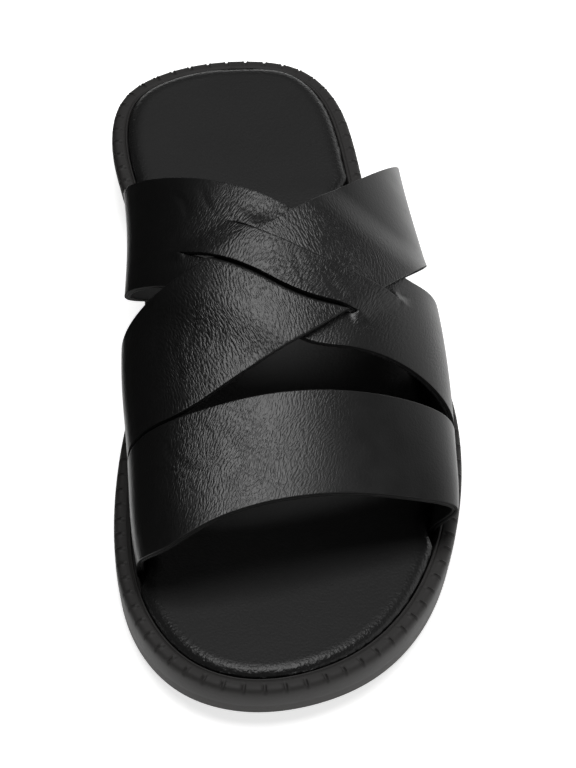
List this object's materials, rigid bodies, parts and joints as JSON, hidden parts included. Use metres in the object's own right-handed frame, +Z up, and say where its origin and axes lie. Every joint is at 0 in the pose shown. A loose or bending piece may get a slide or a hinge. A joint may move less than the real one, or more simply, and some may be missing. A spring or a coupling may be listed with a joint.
{
  "type": "cross strap sandal",
  "caption": "Left slip-on sandal with a front band and woven crossing bands over the instep, a padded footbed, a notched rim and a low grooved sole.",
  "frame": {"origin": "on the ground under the middle of the sandal's box", "axes": "+Z up, -Y to the toe, +X to the little toe side"},
  "size_m": [0.1122, 0.2879, 0.0752],
  "materials": {
    "outsole": "matte",
    "midsole": "matte",
    "rim": "satin",
    "footbed": "satin",
    "upper": "satin"
  },
  "bodies": {
    "root": {"outsole": "outsole", "midsole": "midsole", "welt": "rim", "insole": "footbed", "front_strap": "upper", "cross_straps": "upper"}
  },
  "joints": []
}
